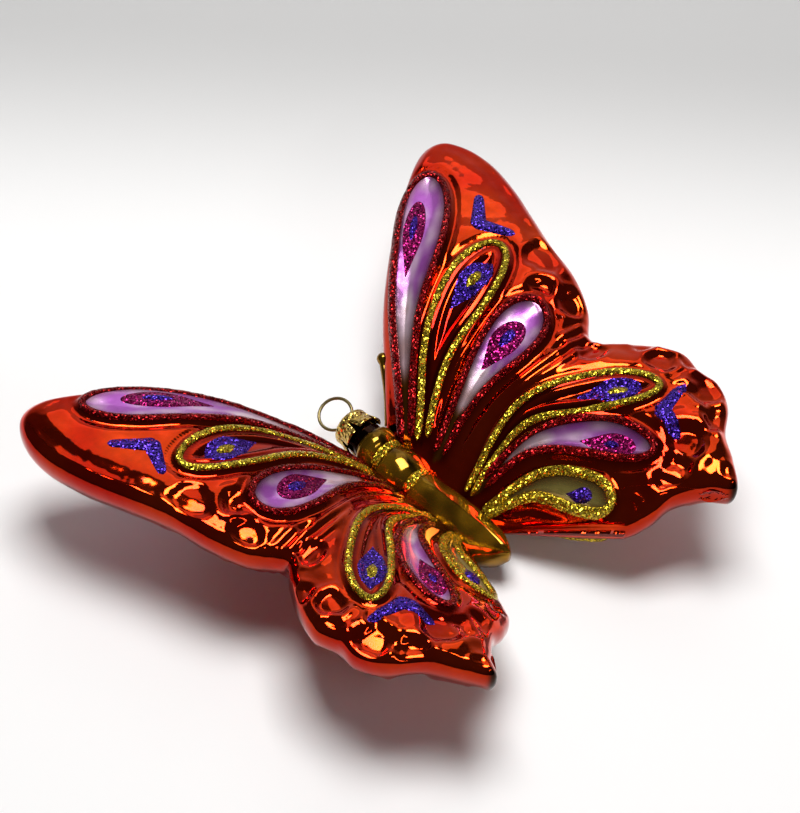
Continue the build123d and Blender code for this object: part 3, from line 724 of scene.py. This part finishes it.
def glitter_stroke(form, line, half_widths, height, face):
    """Vertices and faces of a crowned stroke of glitter on the wing."""
    across = np.sin(np.linspace(-math.pi / 2, math.pi / 2, 11))
    reach = side_of(line) * half_widths[:, None]
    plan = (line[:, None] + reach[:, None] * across[None, :, None]).reshape(-1, 2)
    points, normals = form.surface(plan, face)
    crown = np.sqrt(1 - across**2)[None, :] * (half_widths / half_widths.max())[:, None]
    lumps = 1 + 0.18 * uneven(points, 1.6 * MM, 4)
    points = points + normals * (height * crown.ravel() * lumps - 0.06 * MM)[:, None]
    return points, grid_faces(len(line), len(across), flip=face > 0)


def tapered(count, width, run):
    """Half widths of a stroke that narrows to a point over a run of points at both ends."""
    k = np.arange(count)
    near = np.minimum(k, k[::-1]) / run
    return width / 2 * np.sqrt(np.clip(1 - (1 - np.clip(near, 0, 1)) ** 2, 0.0004, 1))


def glitter_strokes(form, trim, layout, face):
    """All strokes of one colour on one wing and face."""
    step = 0.7 * MM
    strokes = []
    for name in layout.get("outlines", ()):
        line = even_line(form.cells[name][4], step)
        width = trim.inner_width if name == "hind_inner" else trim.outline_width
        strokes.append(glitter_stroke(form, line, tapered(len(line), width, 4), trim.outline_height, face))
    for table, names in ((RINGS, layout.get("rings", ())), (CENTRES, layout.get("centres", ()))):
        for name in names:
            start, finish, width = table[name]
            share = np.sin(np.linspace(0, math.pi / 2, 22))
            line = (np.array(start) + (np.array(finish) - np.array(start)) * share[:, None]) * form.scale
            widest = 0.62
            end = np.sqrt(np.clip(1 - ((share - widest) / (1 - widest)) ** 2, 0, 1))
            half = width * form.sizes.half_span * np.where(share < widest, smooth_step(share / widest), end)
            raised = trim.pad_height * (1.8 if table is CENTRES else 1)
            strokes.append(glitter_stroke(form, line, np.maximum(half, 0.02 * MM), raised, face))
    for name in layout.get("chevrons", ()):
        first, corner, last = np.array((CHEVRONS if face > 0 else BELLY_CHEVRONS)[name]) * form.scale
        for end in (first, last):
            beyond = corner + (corner - end) / np.linalg.norm(corner - end) * trim.chevron_width * 0.3
            line = even_line(np.array([end, beyond]), step)
            half = tapered(len(line), trim.chevron_width, 3) * np.linspace(0.5, 1, len(line))
            strokes.append(glitter_stroke(form, line, half, trim.outline_height, face))
    return strokes


def joined(meshes):
    """One set of vertices and faces from several."""
    vertices, faces, start = [], [], 0
    for points, quads in meshes:
        vertices.append(points)
        faces += [[int(v) + start for v in quad] for quad in quads]
        start += len(points)
    return np.vstack(vertices), faces


def mirrored(points, faces):
    """The same mesh on the left side."""
    return points * (-1, 1, 1), [list(face)[::-1] for face in faces]


class ORNAMENT_OT_glass_shell(bpy.types.Operator):
    """Blow the wings, body and neck in one piece of lacquered glass"""

    bl_idname = "ornament.glass_shell"
    bl_label = "Glass Shell"

    def execute(self, context):
        scene = context.scene
        form = WingForm(scene.ornament_wings)
        sizes, colours = scene.ornament_body, scene.ornament_colours
        right, faces, tones = wing_mesh(form, colours)
        body, body_faces, body_tones = body_mesh(sizes, colours)
        neck, neck_faces = turned_mesh([
            (sizes.neck_radius, y) for y in np.linspace(sizes.neck_root, sizes.neck_end, 6)
        ] + [(sizes.neck_radius * 0.8, sizes.neck_end)], 49)
        neck = neck + (0, 0, sizes.neck_height)
        # Painted shade: the neck gets the dark umber it shows in the shade under the cap
        neck_shade_tones = np.tile(tone(colours.umber_and_shade), (len(neck), 1))
        vertices, quads = joined([
            (right, faces), mirrored(right, faces), (body, body_faces), (neck, neck_faces)])
        all_tones = np.vstack([tones, tones, body_tones, neck_shade_tones])
        new_piece(
            "Glass_shell", vertices, quads, lacquered_glass(), "glass", ["glass_shell"], "lacquered_glass",
            all_tones)
        return {"FINISHED"}


class ORNAMENT_OT_wing_glitter(bpy.types.Operator):
    """Lay the outlines, spots and chevrons of glitter on both faces of the wings"""

    bl_idname = "ornament.wing_glitter"
    bl_label = "Wing Glitter"

    def execute(self, context):
        scene = context.scene
        form = WingForm(scene.ornament_wings)
        trim, colours = scene.ornament_trim, scene.ornament_colours
        finishes = {}
        for hue in ("gold", "red", "purple", "magenta"):
            tint = getattr(colours, f"{hue}_glitter")
            finishes[hue] = glitter(f"{hue.capitalize()} glitter on glue", tint, trim.flake)
        for group, layout in GLITTER.items():
            hue = group.split("_")[1]
            for face, level in ((1, "top"), (-1, "under")):
                mesh = joined(glitter_strokes(form, trim, layout, face))
                for side, (points, faces) in (("right", mesh), ("left", mirrored(*mesh))):
                    node = f"{side}_{group}_{level}"
                    new_piece(node.capitalize(), points, faces, finishes[hue], "glass", [node],
                              f"{hue}_glitter")
        return {"FINISHED"}


class ORNAMENT_OT_body_trim(bpy.types.Operator):
    """Add the glitter bands across the body and the feelers along the wings"""

    bl_idname = "ornament.body_trim"
    bl_label = "Body Trim"

    def execute(self, context):
        scene = context.scene
        sizes, trim, colours = scene.ornament_body, scene.ornament_trim, scene.ornament_colours
        bands = []
        for place, half_turn in BANDS:
            turns = np.radians(np.linspace(-half_turn, half_turn, 40))
            across = np.sin(np.linspace(-math.pi / 2, math.pi / 2, 11))
            turn, off = (a.ravel() for a in np.meshgrid(turns, across, indexing="ij"))
            half = trim.band_width / 2 / sizes.span_length
            points = body_surface(sizes, place + off * half, turn)
            middle = points.mean(0) * (0, 1, 0) + (0, 0, sizes.crest * 0.4)
            outward = (points - middle) * (1, 0, 1)
            outward /= np.linalg.norm(outward, axis=1)[:, None]
            fade = np.sqrt(np.clip(1 - (np.degrees(turn) / half_turn) ** 8, 0, 1))
            lumps = 1 + 0.25 * uneven(points, 1.6 * MM, 5)
            points = points + outward * (trim.outline_height * np.sqrt(1 - off**2) * fade * lumps)[:, None]
            bands.append((points, grid_faces(len(turns), len(across))))
        gold = glitter("Gold glitter on the body", colours.gold_glitter, trim.flake)
        new_piece("Body_bands", *joined(bands), gold, "glass", ["body_gold_glitter"], "gold_glitter")
        form = WingForm(scene.ornament_wings)
        outward = side_of(form.outline)
        places = [round(share * len(form.outline)) for share in ANTENNA_SPAN_SHARES]
        sunk = -0.8 * sizes.antenna_radius
        offsets = np.array((sunk, sunk, 0.0)) + 0.1 * MM
        plan = np.array([form.outline[k] + outward[k] * offset for k, offset in zip(places, offsets)])
        path = smooth_line(np.column_stack([plan, form.middle(plan)]), 12)
        ahead = (path[-1] - path[-2]) / np.linalg.norm(path[-1] - path[-2])
        knob = np.sin(np.linspace(0.2, math.pi / 2, 8)) * sizes.club_radius
        path = np.vstack([path, path[-1] + ahead * knob[:, None]])
        off = np.linalg.norm(path - path[-9], axis=1) / sizes.club_radius
        club = sizes.club_radius * np.sqrt(np.clip(1 - off**2, 0, 1))
        stem = np.where(np.arange(len(path)) < len(path) - 8, sizes.antenna_radius, 0)
        widths = np.maximum(np.maximum(stem, club), 0.05 * MM)
        mesh = tube_mesh(path, widths, 14)
        tones = np.tile(tone(colours.umber_and_shade) * 0.4 + tone(colours.gold, 0.8) * 0.6, (len(mesh[0]), 1))
        finish = bpy.data.materials["Silvered blown glass, lacquered"]
        new_piece("Right_feeler", *mesh, finish, "glass", ["right_antenna"], "antenna_lacquer", tones)
        new_piece(
            "Left_feeler", *mirrored(*mesh), finish, "glass", ["left_antenna"], "antenna_lacquer", tones)
        return {"FINISHED"}


class ORNAMENT_OT_hanger_cap(bpy.types.Operator):
    """Press the hanger cap with its slit skirt"""

    bl_idname = "ornament.hanger_cap"
    bl_label = "Hanger Cap"

    def execute(self, context):
        scene = context.scene
        sizes, hanger = scene.ornament_body, scene.ornament_hanger
        outer = sizes.neck_radius + hanger.cap_clearance + hanger.cap_wall
        shoulder = sizes.neck_end + hanger.seat_gap
        hem = shoulder - hanger.cap_skirt
        petals = 6
        start, rise = shoulder - hanger.cap_dome * 0.6, hanger.cap_dome * 1.6 + hanger.cap_wall
        dome = np.linspace(0.02, math.pi / 2, 12)
        profile = [(outer * math.sin(a), start + rise * math.cos(a)) for a in dome]
        rows = len(profile)
        skirt = np.linspace(profile[-1][1], hem, 16)[1:]
        for y in skirt:
            spread = smooth_step((hem + hanger.cap_flare_run - y) / hanger.cap_flare_run)
            profile.append((outer + hanger.cap_flare * float(spread), y))
        meshes = []
        across = np.linspace(-1, 1, 13)
        for k in range(petals):
            points = []
            for i, (radius, y) in enumerate(profile):
                open_share = max(0.0, (hem + hanger.petal_depth - y) / hanger.petal_depth)
                half = math.pi / petals - hanger.petal_gap / 2 / radius * open_share * (i >= rows)
                for u in across:
                    bow = 1 + 0.03 * open_share * (1 - u * u)
                    angle = 2 * math.pi * k / petals + u * half
                    points.append((radius * bow * math.cos(angle), y, radius * bow * math.sin(angle)))
            meshes.append((np.array(points), grid_faces(len(profile), len(across))))
        points, faces = joined(meshes)
        turn = np.array(Matrix.Rotation(-hanger.tilt, 3, "Y"))
        points = points @ turn.T + (0, 0, sizes.neck_height)
        sheet = embossed_sheet(scene.ornament_colours.cap, hanger.emboss)
        piece = new_piece("Hanger_cap", points, faces, sheet, "cap", ["hanger_cap"], "embossed_cap")
        weld = piece.modifiers.new("Petals meet above the slits", "WELD")
        weld.merge_threshold = 0.02 * MM
        wall = piece.modifiers.new("Sheet", "SOLIDIFY")
        wall.thickness = hanger.cap_wall
        wall.offset = -1.0
        return {"FINISHED"}


class ORNAMENT_OT_spring_clip(bpy.types.Operator):
    """Bend the spring clip from one wire"""

    bl_idname = "ornament.spring_clip"
    bl_label = "Spring Clip"

    def execute(self, context):
        scene = context.scene
        sizes, hanger = scene.ornament_body, scene.ornament_hanger
        shoulder_x = hanger.leg_offset + hanger.shoulder
        reach = hanger.loop_radius + hanger.shoulder
        drop = math.sqrt(reach**2 - shoulder_x**2)
        shoulder_y = hanger.loop_centre - drop
        lean = math.atan2(shoulder_x, drop)
        flare = hanger.leg_flare
        spread = [(hanger.leg_offset + flare * (1 - math.cos(a)), hanger.leg_end - flare * math.sin(a))
                  for a in np.radians(np.linspace(22, 0, 8))]
        bend = [(shoulder_x - hanger.shoulder * math.cos(a), shoulder_y + hanger.shoulder * math.sin(a))
                for a in np.linspace(0, math.pi / 2 - lean, 8)]
        leg = [(hanger.leg_offset, y) for y in np.linspace(hanger.leg_end, shoulder_y, 8)[1:-1]]
        half = spread + leg + bend
        loop = [(hanger.loop_radius * math.sin(a), hanger.loop_centre - hanger.loop_radius * math.cos(a))
                for a in np.linspace(lean, 2 * math.pi - lean, 72)[1:-1]]
        flat = np.array(half + loop + [(-x, y) for x, y in reversed(half)])
        path = np.column_stack([flat, np.zeros(len(flat))])
        turn = np.array(Matrix.Rotation(-hanger.tilt, 3, "Y"))
        path = path @ turn.T + (0, 0, sizes.neck_height)
        points, faces = tube_mesh(path, np.full(len(path), hanger.wire_radius), 16)
        wire = drawn_wire(scene.ornament_colours.wire)
        new_piece("Spring_clip", points, faces, wire, "clip", ["spring_clip"], "clip_wire")
        return {"FINISHED"}


class ORNAMENT_OT_stage(bpy.types.Operator):
    """Set the floor, the lamps and the camera"""

    bl_idname = "ornament.stage"
    bl_label = "Stage"

    def execute(self, context):
        scene = context.scene
        scene.view_settings.view_transform = "Standard"
        away = Vector((0.7309, 0.6825, 0))
        side = Vector((0.6825, -0.7309, 0))
        front, flat, bend, top, half_width = -1.2, 0.25, 0.5, 1.4, 1.6
        profile = [(front, 0.0), (flat, 0.0)]
        turns = np.linspace(0.05, math.pi / 2, 24)
        profile += [(flat + bend * math.sin(a), bend - bend * math.cos(a)) for a in turns]
        profile.append((flat + bend, top))
        points = [
            tuple(away * run + side * across + Vector((0, 0, z)))
            for run, z in profile for across in (-half_width, half_width)]
        mesh = bpy.data.meshes.new("Floor")
        mesh.from_pydata(points, [], grid_faces(len(profile), 2).tolist())
        mesh.shade_smooth()
        material, tree, shader, place = new_material("Matt paper sweep")
        run = add_node(tree, "ShaderNodeVectorMath", {"operation": "DOT_PRODUCT"}, {0: place, 1: away})
        # Painted shade: the white sweep darkens to six tenths along its run towards the back and up its curve
        shade = add_node(tree, "ShaderNodeMapRange", {"interpolation_type": "SMOOTHSTEP"}, {
            "Value": run.outputs["Value"], "From Min": 0.09, "From Max": 0.2, "To Min": 1.0, "To Max": 0.6})
        toned = add_node(tree, "ShaderNodeVectorMath", {"operation": "SCALE"}, {
            0: scene.ornament_colours.floor, "Scale": shade.outputs["Result"]})
        tree.links.new(toned.outputs["Vector"], shader.inputs["Base Color"])
        shader.inputs["Roughness"].default_value = 0.7
        mesh.materials.append(material)
        floor = bpy.data.objects.new("Floor", mesh)
        scene.collection.objects.link(floor)

        world = bpy.data.worlds.new("Dim room")
        world.use_nodes = True
        world.node_tree.nodes["Background"].inputs["Color"].default_value = (0.05, 0.05, 0.052, 1.0)
        scene.world = world
        lamps = [
            ("Panel overhead", (0.03, 0.08, 0.95), (0.5, 0.42), 9.4),
            ("Panel behind", (0.46, 0.43, 0.72), (0.6, 0.6), 0.9),
            ("Strip at the front", (-0.05, -0.6, 0.5), (0.4, 0.04), 0.5),
        ]
        for name, place, size, power in lamps:
            lamp = bpy.data.lights.new(name, "AREA")
            lamp.shape = "RECTANGLE"
            lamp.size, lamp.size_y = size
            lamp.energy = power
            holder = bpy.data.objects.new(name, lamp)
            holder.location = place
            holder.rotation_euler = (Vector((0, 0, 0.02)) - Vector(place)).to_track_quat("-Z", "Y").to_euler()
            scene.collection.objects.link(holder)

        camera = bpy.data.cameras.new("Camera")
        camera.lens = 141.7
        camera.sensor_width = 36.0
        holder = bpy.data.objects.new("Camera", camera)
        ahead = Vector((0.4929, 0.4494, -0.7450)).normalized()
        across = Vector((0.7119, -0.7007, 0.0484))
        above = across.cross(ahead).normalized()
        across = ahead.cross(above)
        turn = Matrix((across, above, -ahead)).transposed().to_4x4()
        holder.matrix_world = Matrix.Translation((-0.4168, -0.3637, 0.6648)) @ turn
        scene.collection.objects.link(holder)
        scene.camera = holder
        return {"FINISHED"}


class ORNAMENT_PT_panel(bpy.types.Panel):
    """Steps and sizes of the ornament"""

    bl_label = "Butterfly Ornament"
    bl_idname = "ORNAMENT_PT_panel"
    bl_space_type = "VIEW_3D"
    bl_region_type = "UI"
    bl_category = "Ornament"

    def draw(self, context):
        for step in STEPS:
            self.layout.operator(step.bl_idname)
        for name in GROUPS:
            column = self.layout.column(heading=name.split("_")[1].capitalize())
            group = getattr(context.scene, name)
            for key in group.__annotations__:
                column.prop(group, key)


STEPS = [
    ORNAMENT_OT_glass_shell, ORNAMENT_OT_wing_glitter, ORNAMENT_OT_body_trim, ORNAMENT_OT_hanger_cap,
    ORNAMENT_OT_spring_clip, ORNAMENT_OT_stage,
]
GROUPS = {
    "ornament_wings": WingSizes, "ornament_body": BodySizes, "ornament_trim": TrimSizes,
    "ornament_hanger": HangerSizes, "ornament_colours": FinishColours,
}


def register():
    """Register the classes and hang the sizes on the scene."""
    for group in GROUPS.values():
        bpy.utils.register_class(group)
    for name, group in GROUPS.items():
        setattr(bpy.types.Scene, name, PointerProperty(type=group))
    for step in STEPS:
        bpy.utils.register_class(step)
    bpy.utils.register_class(ORNAMENT_PT_panel)


def unregister():
    """Undo register."""
    bpy.utils.unregister_class(ORNAMENT_PT_panel)
    for step in reversed(STEPS):
        bpy.utils.unregister_class(step)
    for name, group in reversed(GROUPS.items()):
        delattr(bpy.types.Scene, name)
        bpy.utils.unregister_class(group)


def main():
    """Build the ornament and its stage."""
    register()
    bpy.ops.ornament.glass_shell()
    bpy.ops.ornament.wing_glitter()
    bpy.ops.ornament.body_trim()
    bpy.ops.ornament.hanger_cap()
    bpy.ops.ornament.spring_clip()
    bpy.ops.ornament.stage()


if __name__ == "__main__":
    main()
